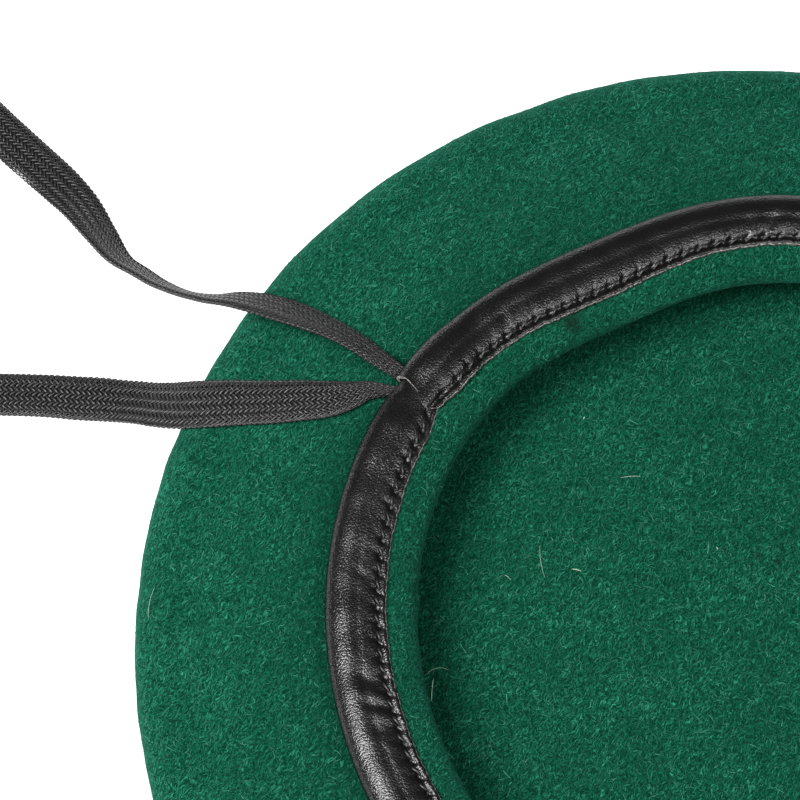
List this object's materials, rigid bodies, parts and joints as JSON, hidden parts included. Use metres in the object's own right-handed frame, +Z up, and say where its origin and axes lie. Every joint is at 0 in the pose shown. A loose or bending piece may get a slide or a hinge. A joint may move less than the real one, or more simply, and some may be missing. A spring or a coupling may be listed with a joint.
{
  "type": "military beret",
  "caption": "Round wool felt beret lying crown down, its opening bound in folded leather that laps at a back seam where two free ends of a flat draw cord come out.",
  "frame": {"origin": "centre of the crown where it lies on the floor", "axes": "+Z up out of the opening, +Y from the crown's centre to the back seam where the cord ends come out"},
  "size_m": [0.272, 0.3697, 0.0293],
  "materials": {
    "green_felt": "milled wool felt with a soft fuzzy nap",
    "black_leather": "fine pebble grain with a low sheen",
    "black_braid": "flat tubular braid of dull yarn"
  },
  "bodies": {
    "root": {"felt_shell": "green_felt", "leather_binding": "black_leather", "draw_cord": "black_braid", "cord_end_upper": "black_braid", "cord_end_lower": "black_braid"}
  },
  "joints": []
}
